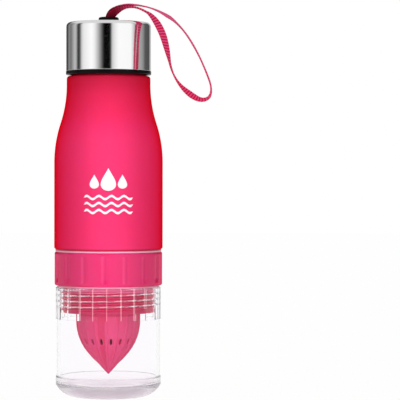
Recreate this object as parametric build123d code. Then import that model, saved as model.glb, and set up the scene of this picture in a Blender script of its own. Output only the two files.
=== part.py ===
"""A fruit infuser water bottle: a clear cup, a screw-in juicer, a frosted bottle and a steel-capped lid.

Millimetres, +Z up. The bottle stands on Z = 0 with its axis on the Z axis, and -Y is the front.
The pieces screw together in a stack, so each height starts from the piece below it.
"""

import math
import os

from build123d import *

# Frosted bottle, which the pieces below line up with
body_diameter = 70.0
body_wall = 2.4
body_foot_rounding = 1.3
barrel_height = 55.9
shoulder_height = 50.0
collar_diameter = 54.0
collar_height = 5.6
collar_rounding = 1.8
mouth_neck_height = 22.4
mouth_neck_wall = 2.2
shoulder_slope = 3.4

# Clear cup
cup_height = 71.0
cup_set_back = 1.8
cup_wall = 2.0
cup_floor_thickness = 7.9
cup_floor_fillet = 2.2
cup_rim_rounding = 0.5
base_band_height = 13.2
base_band_step = 0.7
base_band_rounding = 0.5
base_corner_width = 10.9
base_corner_height = 8.0
base_corner_bulge = 1.5
foot_ring_width = 5.3
foot_recess_depth = 0.8

# Grip pads round the cup's socket
pad_count = 23
pad_depth = 0.75
pad_band_height = 20.7
groove_width = 3.0
groove_centre_angle = 0.7
pad_bond = 0.4

# Thread joints: the ridges on both necks share this radial room
thread_room = 2.1

# Flat seals under the screwed rims
seal_fit = 0.2
cup_seal_thickness = 0.8
cup_seal_inset = 0.6
body_seal_thickness = 1.7
body_seal_inset = 0.9
lid_seal_thickness = 1.5
lid_seal_lip = 1.2

# Juicer: grip ring, two necks and a reamer cone in one moulding
grip_ring_set_back = 0.3
grip_ring_height = 21.6
grip_ring_rounding = 1.2
lower_neck_height = 17.5
upper_neck_height = 14.6
juicer_neck_wall = 2.2
neck_rim_rounding = 0.6
web_thickness = 2.0
flute_count = 16
flute_width = 5.0
flute_depth = 0.4
flute_height = 15.0
flute_lift = 2.7
flute_centre_angle = -2.5

# Reamer cone
cone_ledge = 6.65
cone_wall = 1.6
cone_straight = 5.3
cone_arc_radius = 32.0
cone_arc_turn = 41.0
nib_radius = 4.1
nib_height = 4.1
nib_tip_radius = 0.3
cone_pit_radius = 1.0
ridge_count = 18
ridge_height = 0.5
ridge_width = 1.5
ridge_bond = 0.3
ridge_run_out = 2.0
ridge_centre_angle = -2.0
slot_length = 4.3
slot_width = 1.5
slot_drop = 18.2

# Lid
lid_overhang = 0.3
lid_shell_wall = 0.6
lid_shell_rounding = 2.6
lid_rim_gap = 0.8
lid_rim_height = 2.5
lid_rim_proud = 0.2
lid_rim_rounding = 0.4
liner_plate_thickness = 2.0
liner_skirt_wall = 1.55
liner_fit = 0.05
pocket_wall = 2.4

# Strap ribbon
strap_width = 5.4
strap_thickness = 0.9
strap_spread = 0.65
strap_lean = 28.0
strap_arc_share = 0.45

# Strap fixing in the lid's top
strap_clearance = 0.3
grommet_wall = 1.6
grommet_flange_width = 1.7
grommet_flange_height = 3.5
grommet_flange_rounding = 1.3
grommet_bore_flare = 1.4
grommet_fit = 0.1
grommet_reach = 1.8
snap_proud = 0.5
snap_height = 1.0
snap_gap = 0.2
crimp_margin = 1.6
crimp_height = 3.4
crimp_rounding = 0.6
crimp_clearance = 2.9

# How far a cut runs past the surface that it opens
overrun = 1.0

# Radii and levels that follow from the sizes above
full_turn = 360.0
body_radius = body_diameter / 2
body_bore_radius = body_radius - body_wall
cup_radius = body_radius - cup_set_back
cup_bore_radius = cup_radius - cup_wall
pad_radius = cup_radius + pad_depth
band_radius = cup_radius + base_band_step
foot_radius = band_radius - base_corner_width
foot_recess_radius = foot_radius - foot_ring_width

ring_radius = body_radius - grip_ring_set_back
lower_neck_radius = cup_bore_radius - thread_room
lower_neck_bore_radius = lower_neck_radius - juicer_neck_wall
upper_neck_radius = body_bore_radius - thread_room
cone_radius = lower_neck_bore_radius - cone_ledge

collar_radius = collar_diameter / 2
shell_radius = collar_radius + lid_overhang
shell_bore_radius = shell_radius - lid_shell_wall
liner_sleeve_radius = shell_bore_radius - liner_fit
liner_bore_radius = liner_sleeve_radius - liner_skirt_wall
mouth_neck_radius = liner_bore_radius - thread_room

strap_half_pair = strap_spread + strap_thickness / 2
grommet_bore_radius = math.hypot(strap_width / 2, strap_half_pair) + strap_clearance
grommet_stem_radius = grommet_bore_radius + grommet_wall
grommet_flange_radius = grommet_stem_radius + grommet_flange_width

ring_bottom = cup_height + cup_seal_thickness
ring_top = ring_bottom + grip_ring_height
neck_bottom = ring_bottom - lower_neck_height
upper_neck_top = ring_top + upper_neck_height
body_bottom = ring_top + body_seal_thickness
shoulder_bottom = body_bottom + barrel_height
shoulder_top = shoulder_bottom + shoulder_height
collar_top = shoulder_top + collar_height
mouth_top = collar_top + mouth_neck_height
plate_bottom = mouth_top + lid_seal_thickness
plate_top = plate_bottom + liner_plate_thickness
pocket_depth = crimp_clearance + crimp_height + grommet_reach
shell_ceiling = plate_top + pocket_depth
lid_top = shell_ceiling + lid_shell_wall
rim_bottom = collar_top + lid_rim_gap
rim_top = rim_bottom + lid_rim_height
grommet_bottom = shell_ceiling - grommet_reach
grommet_top = lid_top + grommet_flange_height

# The strap's route as (outwards, height): out of the grommet, over the top, down and back again
strap_route = [
    (-0.65, 238.8),
    (-0.65, 245.0),
    (4.3, 249.7),
    (11.3, 252.3),
    (20.5, 252.1),
    (33.8, 249.0),
    (46.3, 242.6),
    (56.4, 233.3),
    (65.3, 219.9),
    (71.5, 207.4),
    (75.2, 198.1),
    (74.1, 191.9),
    (68.6, 190.0),
    (61.9, 192.4),
    (52.5, 199.2),
    (46.3, 208.9),
    (43.8, 220.2),
    (39.6, 234.3),
    (31.6, 245.3),
    (20.6, 250.7),
    (11.7, 250.9),
    (5.3, 248.5),
    (0.65, 244.2),
    (0.65, 238.8),
]


def turned(corners):
    """A solid turned about the bottle's axis, from corners given as radius, height and rounding."""
    points = [(radius, 0, height) for radius, height, rounding in corners]
    roundings = [rounding for radius, height, rounding in corners]
    outline = FilletPolyline(*points, radius=roundings, close=True)
    return revolve(make_face(outline), axis=Axis.Z)


def turned_outline(edges):
    """A solid turned about the bottle's axis from joined lines and arcs."""
    outline = Curve() + edges
    return revolve(make_face(outline), axis=Axis.Z)


def round_the_axis(shape, count, first_angle):
    """Copies of a shape at equal steps round the bottle's axis."""
    step = full_turn / count
    return [Rot(Z=first_angle + step * index) * shape for index in range(count)]


def front_angle(angle):
    """Degrees round the axis, for an angle counted to the right from the front."""
    return angle - full_turn / 4


def seal_ring(inner_radius, outer_radius, bottom, thickness):
    """A flat washer-shaped seal lying on a level."""
    top = bottom + thickness
    return turned([
        (inner_radius, bottom, 0),
        (outer_radius, bottom, 0),
        (outer_radius, top, 0),
        (inner_radius, top, 0),
    ])


def foot_corner():
    """The cup's bulging bevel, from the flat foot out and up to the base band."""
    slope = math.hypot(base_corner_width, base_corner_height)
    middle_radius = band_radius - base_corner_width / 2 + base_corner_bulge * base_corner_height / slope
    middle_height = base_corner_height / 2 - base_corner_bulge * base_corner_width / slope
    return ThreePointArc(
        (foot_radius, 0, 0),
        (middle_radius, 0, middle_height),
        (band_radius, 0, base_corner_height),
    )


def make_cup():
    """The clear cup: thick floor, straight wall, bevelled foot and 23 grip pads round the socket."""
    foot = Polyline(
        (0, 0, cup_floor_thickness),
        (0, 0, foot_recess_depth),
        (foot_recess_radius, 0, foot_recess_depth),
        (foot_recess_radius, 0, 0),
        (foot_radius, 0, 0),
    )
    wall = FilletPolyline(
        (band_radius, 0, base_corner_height),
        (band_radius, 0, base_band_height),
        (cup_radius, 0, base_band_height),
        (cup_radius, 0, cup_height),
        (cup_bore_radius, 0, cup_height),
        (cup_bore_radius, 0, cup_floor_thickness),
        (0, 0, cup_floor_thickness),
        radius=[base_band_rounding, 0, cup_rim_rounding, cup_rim_rounding, cup_floor_fillet],
    )
    shape = turned_outline([foot, foot_corner(), wall])
    pad_bottom = cup_height - pad_band_height
    groove_angle = math.degrees(groove_width / pad_radius)
    pad_angle = full_turn / pad_count - groove_angle
    pad_face = make_face(Polyline(
        (cup_radius - pad_bond, 0, pad_bottom),
        (pad_radius, 0, pad_bottom),
        (pad_radius, 0, cup_height - cup_rim_rounding),
        (cup_radius, 0, cup_height - cup_rim_rounding),
        (cup_radius - pad_bond, 0, cup_height - cup_rim_rounding - pad_bond),
        close=True,
    ))
    pad = revolve(pad_face, axis=Axis.Z, revolution_arc=pad_angle)
    first_pad = front_angle(groove_centre_angle) + groove_angle / 2
    return shape + round_the_axis(pad, pad_count, first_pad)


def cone_outline(top_level, offset, end_points):
    """The reamer's profile, moved in by an offset: straight side, one arc and a straight run."""
    turn = math.radians(cone_arc_turn)
    arc_top = neck_bottom - cone_straight
    arc_radius = cone_arc_radius - offset
    side = cone_radius - offset
    centre = cone_radius - cone_arc_radius
    middle_turn = turn / 2
    arc_middle = (centre + arc_radius * math.cos(middle_turn), 0, arc_top - arc_radius * math.sin(middle_turn))
    arc_end = (centre + arc_radius * math.cos(turn), 0, arc_top - arc_radius * math.sin(turn))
    points = [arc_end] + end_points(arc_end, turn)
    return [
        Line((side, 0, top_level), (side, 0, arc_top)),
        ThreePointArc((side, 0, arc_top), arc_middle, arc_end),
        Polyline(*points),
    ]


def straight_run_to(radius, arc_end, turn):
    """The point at a radius on the straight run that leaves the arc's end."""
    return (radius, 0, arc_end[2] - (arc_end[0] - radius) / math.tan(turn))


def nib_points(arc_end, turn):
    """The outside's steeper pointed nib, ending on the axis."""
    shoulder = straight_run_to(nib_radius, arc_end, turn)
    tip = shoulder[2] - nib_height
    return [shoulder, (nib_tip_radius, 0, tip), (0, 0, tip)]


def pit_points(arc_end, turn):
    """The inside's small flat pit, ending on the axis."""
    edge = straight_run_to(cone_pit_radius, arc_end, turn)
    return [edge, (0, 0, edge[2])]


def cone_body(top_level, offset, end_points):
    """A solid reamer cone below a level, moved in by an offset."""
    edges = cone_outline(top_level, offset, end_points)
    bottom = edges[-1] @ 1
    edges.append(Line(bottom, (0, 0, top_level)))
    edges.append(Line((0, 0, top_level), edges[0] @ 0))
    return turned_outline(edges)


def run_out_points(arc_end, turn):
    """Where a ridge ends on the straight run, a little past the arc."""
    return [straight_run_to(arc_end[0] - ridge_run_out, arc_end, turn)]


def cone_ridges():
    """Eighteen straight ridges on the reamer: flat blades whose outer edge follows its side."""
    top = neck_bottom + ridge_bond
    outer = cone_outline(top, -ridge_height, run_out_points)
    inner = cone_outline(top, ridge_bond, run_out_points)
    ends = [Line(outer[-1] @ 1, inner[-1] @ 1), Line(inner[0] @ 0, outer[0] @ 0)]
    face = make_face(Curve() + outer + inner + ends)
    blade = extrude(face, amount=ridge_width / 2, both=True)
    return round_the_axis(blade, ridge_count, front_angle(ridge_centre_angle))


def cone_slots():
    """Eighteen round-ended drain slots in the valleys between the ridges."""
    half_step = full_turn / ridge_count / 2
    level = neck_bottom - slot_drop
    drop_angle = math.asin((slot_drop - cone_straight) / cone_arc_radius)
    surface = cone_radius - cone_arc_radius * (1 - math.cos(drop_angle))
    depth = cone_wall * 4
    pattern = SlotOverall(slot_length, slot_width, rotation=90)
    face = Plane(origin=(surface, 0, level), x_dir=(0, 1, 0), z_dir=(1, 0, 0)) * pattern
    slot = extrude(face, amount=depth / 2, both=True)
    lean = Pos(surface, 0, level) * Rot(Y=math.degrees(drop_angle)) * Pos(-surface, 0, -level)
    return round_the_axis(lean * slot, ridge_count, front_angle(ridge_centre_angle + half_step))


def ring_flutes():
    """Shallow upright scallops round the grip ring."""
    scallop_radius = (flute_width ** 2 / 4 + flute_depth ** 2) / (2 * flute_depth)
    middle = ring_bottom + flute_lift + flute_height / 2
    reach = ring_radius - flute_depth + scallop_radius
    scallop = Pos(reach, 0, middle) * Cylinder(scallop_radius, flute_height)
    return round_the_axis(scallop, flute_count, front_angle(flute_centre_angle))


def make_juicer():
    """The juicer: a fluted grip ring between two necks, a web and a slotted, ridged reamer cone."""
    web_top = neck_bottom + web_thickness
    upper_bore = upper_neck_radius - juicer_neck_wall
    cone_bore = cone_radius - cone_wall
    ring = turned([
        (cone_bore, neck_bottom, 0),
        (lower_neck_radius, neck_bottom, neck_rim_rounding),
        (lower_neck_radius, ring_bottom, 0),
        (ring_radius, ring_bottom, grip_ring_rounding),
        (ring_radius, ring_top, grip_ring_rounding),
        (upper_neck_radius, ring_top, 0),
        (upper_neck_radius, upper_neck_top, neck_rim_rounding),
        (upper_bore, upper_neck_top, neck_rim_rounding),
        (upper_bore, ring_bottom + juicer_neck_wall, 0),
        (lower_neck_bore_radius, ring_bottom, 0),
        (lower_neck_bore_radius, web_top, 0),
        (cone_bore, web_top, 0),
    ])
    cone = cone_body(web_top, 0, nib_points)
    cone += cone_ridges()
    cone -= cone_body(web_top + overrun, cone_wall, pit_points)
    shape = ring - ring_flutes()
    shape += cone
    return shape - cone_slots()


def make_bottle_body():
    """The frosted bottle: open foot, straight barrel, S-curved shoulder, collar and drinking neck."""
    inset = body_radius - collar_radius
    half_rise = shoulder_height / 2
    mouth_bore = mouth_neck_radius - mouth_neck_wall
    curve_radius = (shoulder_height ** 2 + inset ** 2) / (4 * inset)
    half_turn = math.asin(half_rise / curve_radius) / 2
    side_step = curve_radius * (1 - math.cos(half_turn))
    side_rise = curve_radius * math.sin(half_turn)

    def shoulder_curve(wall):
        """Two equal arcs that carry the barrel's wall up to the collar's."""
        low = (body_radius - wall, 0, shoulder_bottom)
        high = (collar_radius - wall, 0, shoulder_top)
        middle = ((low[0] + high[0]) / 2, 0, shoulder_bottom + half_rise)
        low_bend = (low[0] - side_step, 0, low[2] + side_rise)
        high_bend = (high[0] + side_step, 0, high[2] - side_rise)
        return ThreePointArc(low, low_bend, middle), ThreePointArc(middle, high_bend, high)

    foot_side = FilletPolyline(
        (body_bore_radius, 0, shoulder_bottom),
        (body_bore_radius, 0, body_bottom),
        (body_radius, 0, body_bottom),
        (body_radius, 0, shoulder_bottom),
        radius=[0, body_foot_rounding],
    )
    collar_side = FilletPolyline(
        (collar_radius, 0, shoulder_top),
        (collar_radius, 0, collar_top),
        (mouth_neck_radius, 0, collar_top),
        (mouth_neck_radius, 0, mouth_top),
        (mouth_bore, 0, mouth_top),
        (mouth_bore, 0, collar_top),
        (collar_radius - body_wall, 0, collar_top - shoulder_slope),
        (collar_radius - body_wall, 0, shoulder_top),
        radius=[collar_rounding, 0, neck_rim_rounding, neck_rim_rounding, 0, 0],
    )
    outer_curve = shoulder_curve(0)
    inner_curve = shoulder_curve(body_wall)
    return turned_outline([foot_side, *outer_curve, collar_side, *inner_curve])


def make_lid_shell():
    """The drawn steel cap, open below, with the grommet's hole in its top."""
    hole_radius = grommet_stem_radius + grommet_fit
    inner_rounding = lid_shell_rounding - lid_shell_wall
    return turned([
        (hole_radius, lid_top, 0),
        (shell_radius, lid_top, lid_shell_rounding),
        (shell_radius, rim_top, 0),
        (shell_bore_radius, rim_top, 0),
        (shell_bore_radius, shell_ceiling, inner_rounding),
        (hole_radius, shell_ceiling, 0),
    ])


def make_lid_liner():
    """The moulded liner: visible rim, skirt for the thread, top plate and the strap's pocket above."""
    rim_radius = shell_radius + lid_rim_proud
    pocket_radius = liner_sleeve_radius - pocket_wall
    corner = lid_shell_rounding - lid_shell_wall + liner_fit
    return turned([
        (0, plate_bottom, 0),
        (liner_bore_radius, plate_bottom, 0),
        (liner_bore_radius, rim_bottom, 0),
        (rim_radius, rim_bottom, lid_rim_rounding),
        (rim_radius, rim_top, lid_rim_rounding),
        (liner_sleeve_radius, rim_top, 0),
        (liner_sleeve_radius, shell_ceiling, corner),
        (pocket_radius, shell_ceiling, 0),
        (pocket_radius, plate_top, 0),
        (0, plate_top, 0),
    ])


def make_lid_seal():
    """The lid's seal, between the neck's rim and the liner's plate."""
    inner_radius = mouth_neck_radius - mouth_neck_wall - lid_seal_lip
    outer_radius = liner_bore_radius - seal_fit
    return seal_ring(inner_radius, outer_radius, mouth_top, lid_seal_thickness)


def make_cup_seal():
    """The seal between the cup's rim and the grip ring."""
    inner_radius = lower_neck_radius + seal_fit
    outer_radius = cup_radius - cup_seal_inset
    return seal_ring(inner_radius, outer_radius, cup_height, cup_seal_thickness)


def make_body_seal():
    """The pale seal that shows as a line between the grip ring and the bottle."""
    inner_radius = upper_neck_radius + seal_fit
    outer_radius = body_radius - body_seal_inset
    return seal_ring(inner_radius, outer_radius, ring_top, body_seal_thickness)


def make_strap_grommet():
    """The soft round grommet in the lid's top, snapped under the steel, with the strap's bore."""
    snap_top = shell_ceiling - snap_gap
    snap_radius = grommet_stem_radius + snap_proud
    return turned([
        (grommet_bore_radius, grommet_bottom, 0),
        (grommet_stem_radius, grommet_bottom, 0),
        (snap_radius, snap_top - snap_height, 0),
        (snap_radius, snap_top, 0),
        (grommet_stem_radius, snap_top, 0),
        (grommet_stem_radius, lid_top, 0),
        (grommet_flange_radius, lid_top, 0),
        (grommet_flange_radius, grommet_top, grommet_flange_rounding),
        (grommet_bore_radius, grommet_top, grommet_bore_flare),
    ])


def make_strap_crimp():
    """The crimp that holds the strap's two ends and can't pass the grommet's bore."""
    middle = grommet_bottom - crimp_height / 2
    length = strap_width + crimp_margin * 2
    thickness = (strap_half_pair + crimp_margin) * 2
    block = Pos(0, 0, middle) * Box(thickness, length, crimp_height)
    return Rot(Z=-strap_lean) * fillet(block.edges().filter_by(Axis.Z), crimp_rounding)


def corner_radii(points):
    """For each inner point, the share of its shorter run, divided by the tangent of half the turn."""
    radii = []
    for before, here, after in zip(points, points[1:], points[2:]):
        arriving = here - before
        leaving = after - here
        half_turn = math.radians(arriving.get_angle(leaving)) / 2
        shorter = min(arriving.length, leaving.length)
        radii.append(strap_arc_share * shorter / math.tan(half_turn))
    return radii


def make_strap():
    """The wrist strap: one ribbon of webbing, flat to the route, which leans to the front."""
    points = [Vector(across, 0, height) for across, height in strap_route]
    radii = corner_radii(points)
    path = FilletPolyline(*points, radius=radii)
    section_plane = Plane(origin=path @ 0, x_dir=(0, 1, 0), z_dir=path % 0)
    section = section_plane * Rectangle(strap_width, strap_thickness)
    ribbon = sweep(section, path=path)
    print("strap radii:", [round(radius, 1) for radius in radii])
    print("strap length:", round(path.length, 1))
    print("strap volume over section times length:",
          round(ribbon.volume / (strap_width * strap_thickness * path.length), 4))
    return Rot(Z=-strap_lean) * ribbon


makers = {
    "cup": make_cup,
    "cup_seal": make_cup_seal,
    "juicer": make_juicer,
    "body_seal": make_body_seal,
    "bottle_body": make_bottle_body,
    "lid_seal": make_lid_seal,
    "lid_liner": make_lid_liner,
    "lid_shell": make_lid_shell,
    "strap_grommet": make_strap_grommet,
    "strap_crimp": make_strap_crimp,
    "strap": make_strap,
}

os.makedirs("parts", exist_ok=True)
for name, make in makers.items():
    export_step(make(), f"parts/{name}.step")
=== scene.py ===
"""Looks of the fruit infuser water bottle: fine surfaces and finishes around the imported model.

Metres, +Z up, bottle on Z = 0 with its axis on the Z axis, front towards -Y. Sizes and levels are in
millimetres below and become metres where a mesh or a node is made. Angles run from +X towards +Y.
"""
import math

import bpy
import numpy as np
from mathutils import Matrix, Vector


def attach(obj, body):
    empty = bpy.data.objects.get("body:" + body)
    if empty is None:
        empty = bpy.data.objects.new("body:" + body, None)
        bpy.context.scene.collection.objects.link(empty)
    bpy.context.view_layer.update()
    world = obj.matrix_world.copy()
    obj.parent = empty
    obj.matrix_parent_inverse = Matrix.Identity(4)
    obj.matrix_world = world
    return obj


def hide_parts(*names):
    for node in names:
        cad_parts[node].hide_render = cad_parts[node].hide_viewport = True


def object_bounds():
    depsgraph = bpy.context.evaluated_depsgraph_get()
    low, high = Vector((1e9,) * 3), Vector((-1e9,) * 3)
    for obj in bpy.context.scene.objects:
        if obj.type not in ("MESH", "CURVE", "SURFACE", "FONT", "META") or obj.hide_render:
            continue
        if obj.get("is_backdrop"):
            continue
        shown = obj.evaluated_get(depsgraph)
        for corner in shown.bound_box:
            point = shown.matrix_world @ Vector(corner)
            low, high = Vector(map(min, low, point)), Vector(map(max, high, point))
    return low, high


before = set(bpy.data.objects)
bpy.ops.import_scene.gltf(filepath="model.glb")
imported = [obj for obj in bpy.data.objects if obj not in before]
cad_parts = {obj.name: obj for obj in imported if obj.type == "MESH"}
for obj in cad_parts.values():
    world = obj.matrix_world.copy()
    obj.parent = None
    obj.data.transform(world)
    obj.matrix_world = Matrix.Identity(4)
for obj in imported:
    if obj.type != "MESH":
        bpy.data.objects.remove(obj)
cad_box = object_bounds()

mm = 0.001
full_turn = 2 * math.pi
front = -math.pi / 2

# Levels of the stack, from the cup's floor to the lid's top
cup_floor = 7.9
base_band_top = 13.2
neck_bottom = 54.3
web_top = 56.3
cup_rim = 71.0
ring_bottom = 71.8
ring_top = 93.4
body_bottom = 95.1
upper_neck_top = 108.0
shoulder_bottom = 151.0
shoulder_top = 201.0
collar_top = 206.6
lid_rim_bottom = 207.4
lid_rim_top = 209.9
mouth_top = 229.0
plate_bottom = 230.5
plate_top = 232.5
crimp_level = 238.8
shell_ceiling = 240.6
lid_top = 241.2

# Radii and walls
foot_hollow_radius = 17.7
cup_radius = 33.2
cup_bore = 31.2
base_band_radius = 33.9
lower_neck_radius = 29.1
upper_neck_radius = 30.5
juicer_wall = 2.2
ring_radius = 34.7
cone_radius = 20.25
body_radius = 35.0
body_bore = 32.6
body_wall = 2.4
collar_radius = 27.0
mouth_neck_radius = 23.0
mouth_wall = 2.2
liner_bore = 25.1
liner_sleeve = 26.65
pocket_wall = 2.4
lid_rim_radius = 27.5
shell_radius = 27.3
shell_bore = 26.7
grommet_hole = 4.9155

# Threads: every screwed joint has the same right-hand pitch. The ends fade over a share of a turn, and
# the rows of points under a thread stand this close
thread_pitch = 3.6
thread_height = 1.2
thread_crest = 0.3
thread_flank = 0.55
thread_fade = 0.12
thread_row = 0.29
fine_thread_row = 0.18

# Rounded edges and the short steps beside them that keep flat faces flat
rounding_steps = 5
edge_step = 0.25
smooth_limit = math.radians(32)


# Camera, placed and tilted as the photo's perspective asks

camera_data = bpy.data.cameras.new("photo_camera")
camera_data.sensor_width = 36.0
camera_data.lens = 190.8
camera = bpy.data.objects.new("photo_camera", camera_data)
bpy.context.scene.collection.objects.link(camera)
camera.location = (0.0591, -1.370, 0.1416)
camera.rotation_euler = (math.radians(90 - 0.62), math.radians(-0.09), 0)
bpy.context.scene.camera = camera


# Surfaces as arrays

def mesh_piece(name, points, quads, triangles=None, smooth=smooth_limit, weave=None):
    """An object at the origin from points in millimetres and faces; points that no face uses are dropped."""
    loose = np.zeros((0, 3), int) if triangles is None else np.asarray(triangles)
    corners = np.concatenate([np.ravel(quads), np.ravel(loose)]).astype(np.int64)
    used, corners = np.unique(corners, return_inverse=True)
    sizes = np.concatenate([np.full(len(quads), 4), np.full(len(loose), 3)])
    starts = np.concatenate([[0], np.cumsum(sizes)[:-1]])
    mesh = bpy.data.meshes.new(name)
    mesh.vertices.add(len(used))
    mesh.vertices.foreach_set("co", (np.asarray(points).reshape(-1, 3)[used] * mm).ravel())
    mesh.loops.add(len(corners))
    mesh.loops.foreach_set("vertex_index", corners.ravel())
    mesh.polygons.add(len(sizes))
    mesh.polygons.foreach_set("loop_start", starts)
    mesh.update(calc_edges=True)
    mesh.validate()
    if weave is not None:
        layer = mesh.uv_layers.new(name="weave")
        layer.uv.foreach_set("vector", np.asarray(weave, float).reshape(-1, 2)[used][corners.ravel()].ravel())
    mesh.polygons.foreach_set("use_smooth", np.ones(len(sizes), bool))
    mesh.set_sharp_from_angle(angle=smooth)
    piece = bpy.data.objects.new(name, mesh)
    bpy.context.scene.collection.objects.link(piece)
    return piece


def grid_faces(rows, columns, close_rows=False):
    """Quads (i, j), (i, j + 1), (i + 1, j + 1), (i + 1, j) of a grid whose last column meets its first."""
    i = np.arange(rows if close_rows else rows - 1)[:, None]
    j = np.arange(columns)[None, :]
    here, above = i * columns, (i + 1) % rows * columns
    after = (j + 1) % columns
    return np.stack([here + j, here + after, above + after, above + j], -1).reshape(-1, 4)


def smooth_step(x):
    """3 x^2 - 2 x^3 between 0 and 1, held at both ends."""
    x = np.clip(x, 0, 1)
    return x * x * (3 - 2 * x)


def from_nearest(angles, centre, step):
    """The angle from the nearest mark at centre + k step: (a - centre + step / 2) mod step, less step / 2."""
    return np.mod(angles - centre + step / 2, step) - step / 2


def unit(vector):
    """The vector over its own length."""
    return vector / np.linalg.norm(vector)


def cross_section(corners, closed=False):
    """An outline's points (radius, height) with rounded corners, and the name of the stretch each lies on.

    A corner is (radius, height, rounding, stretch, spacing), and its stretch runs to the next corner.
    A rounding is an arc in equal steps, centre + rounding (cos t, sin t), that meets both stretches.
    """
    corners = [tuple(corner) + (0, "", 0)[len(corner) - 2:] for corner in corners]
    places = np.array([corner[:2] for corner in corners], float)
    count = len(corners)
    arcs = []
    for index, corner in enumerate(corners):
        here, rounding = places[index], corner[2]
        if rounding == 0:
            arcs.append(here[None])
            continue
        arriving = unit(here - places[index - 1])
        leaving = unit(places[(index + 1) % count] - here)
        turn = math.atan2(arriving[0] * leaving[1] - arriving[1] * leaving[0], arriving @ leaving)
        side = math.copysign(1, turn) * np.array([-arriving[1], arriving[0]])
        centre = here - arriving * rounding * math.tan(abs(turn) / 2) + side * rounding
        swing = np.linspace(0, turn, rounding_steps + 1)[:, None]
        arcs.append(centre - rounding * (side * np.cos(swing) + np.sign(turn) * -arriving * np.sin(swing)))
    points, names = [], []
    for index, (*_, stretch, spacing) in enumerate(corners):
        points.append(arcs[index])
        names += [""] * len(arcs[index])
        if index == count - 1 and not closed:
            break
        start, end = arcs[index][-1], arcs[(index + 1) % count][0]
        length = np.linalg.norm(end - start)
        marks = [edge_step, length - edge_step] if length > 4 * edge_step else []
        if spacing and length > spacing:
            parts = math.ceil(length / spacing)
            marks += list(np.arange(1, parts) * length / parts)
        marks = np.unique(np.round(marks, 6))
        marks = marks[(marks > 0) & (marks < length)]
        if stretch:
            names[-1] = stretch
        if len(marks):
            points.append(start + (end - start) * (marks / length)[:, None])
            names += [stretch] * len(marks)
    return np.concatenate(points), np.array(names)


def outward(points, closed):
    """Unit normals of an outline that runs anticlockwise: its direction turned a quarter to the right."""
    before = np.roll(points, 1, 0) if closed else np.concatenate([points[:1], points[:-1]])
    after = np.roll(points, -1, 0) if closed else np.concatenate([points[1:], points[-1:]])
    along = after - before
    along /= np.maximum(np.linalg.norm(along, axis=1), 1e-9)[:, None]
    return np.stack([along[:, 1], -along[:, 0]], 1)


def turned_points(points, angles, relief=0.0, closed=False):
    """Each outline point (r, z), pushed out along its normal by the relief h, and carried round the axis.

    x = (r + n_r h) cos a, y = (r + n_r h) sin a, z = z + n_z h.
    """
    normals = outward(points, closed)
    relief = np.broadcast_to(relief, (len(points), angles.shape[-1]))
    radius = points[:, 0:1] + normals[:, 0:1] * relief
    height = points[:, 1:2] + normals[:, 1:2] * relief
    return np.stack([radius * np.cos(angles), radius * np.sin(angles), height], -1)


def turned_piece(name, corners, angles, relief=None, closed=False):
    """A surface of revolution from an outline; where it starts and ends on the axis, fans close it."""
    outline, stretches = cross_section(corners, closed)
    height = 0.0 if relief is None else relief(outline, stretches, angles)
    points = turned_points(outline, angles, height, closed)
    rows, columns = points.shape[:2]
    if closed:
        return mesh_piece(name, points, grid_faces(rows, columns, close_rows=True))
    return capped_piece(name, points[1:-1], outline[0, 1], outline[-1, 1])


def capped_piece(name, points, low_pole, high_pole, keep=None, extra=None):
    """A turned grid closed by a fan to a point on the axis below its first row and above its last row."""
    rows, columns = points.shape[:2]
    last = (rows - 1) * columns
    j = np.arange(columns)
    after = (j + 1) % columns
    first_pole = rows * columns
    start_fan = np.stack([np.full(columns, first_pole), after, j], 1)
    end_fan = np.stack([last + j, last + after, np.full(columns, first_pole + 1)], 1)
    quads = grid_faces(rows, columns)
    if keep is not None:
        quads = quads[keep.ravel()]
    if extra is not None:
        quads = np.concatenate([quads, extra])
    poles = np.array([[0, 0, low_pole], [0, 0, high_pole]])
    return mesh_piece(name, np.concatenate([points.reshape(-1, 3), poles]), quads,
                      np.concatenate([start_fan, end_fan]))


def even_angles(count, first=0.0):
    """first + 360 k / count degrees, for k from 0 to count - 1."""
    return first + np.arange(count) * full_turn / count


def on_stretch(stretches, name, relief):
    """The relief on the rows of the outline's named stretch, and none elsewhere."""
    return np.where((stretches == name)[:, None], relief, 0)


def thread(outline, angles, first, start_turn, end_turn,
           height=thread_height, crest=thread_crest, flank=thread_flank):
    """A right-hand ridge whose middle climbs z = first + pitch a / 360 degrees.

    Its height is constant over the crest, falls off along a smooth step on both flanks, and fades at
    both ends.
    """
    share = np.mod(angles, full_turn) / full_turn
    climb = (outline[:, 1:2] - first) / thread_pitch - share
    turn = np.round(climb)
    off = np.abs(climb - turn) * thread_pitch
    along = turn + share
    side = 1 - smooth_step((off - crest) / flank)
    ends = smooth_step((along - start_turn) / thread_fade) * smooth_step((end_turn - along) / thread_fade)
    return height * side * ends


# Strap: the CAD route as (outwards, height), in a plane that leans to the front
strap_width = 5.4
strap_thickness = 0.9
strap_lean = math.radians(28)
strap_route = [
    (-0.65, crimp_level),
    (-0.65, 245.0),
    (4.3, 249.7),
    (11.3, 252.3),
    (20.5, 252.1),
    (33.8, 249.0),
    (46.3, 242.6),
    (56.4, 233.3),
    (65.3, 219.9),
    (71.5, 207.4),
    (75.2, 198.1),
    (74.1, 191.9),
    (68.6, 190.0),
    (61.9, 192.4),
    (52.5, 199.2),
    (46.3, 208.9),
    (43.8, 220.2),
    (39.6, 234.3),
    (31.6, 245.3),
    (20.6, 250.7),
    (11.7, 250.9),
    (5.3, 248.5),
    (0.65, 244.2),
    (0.65, crimp_level),
]
pair_offset = 0.5
pair_end = 1.0
pair_length = 11.0
grommet_squeeze = 0.4


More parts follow.
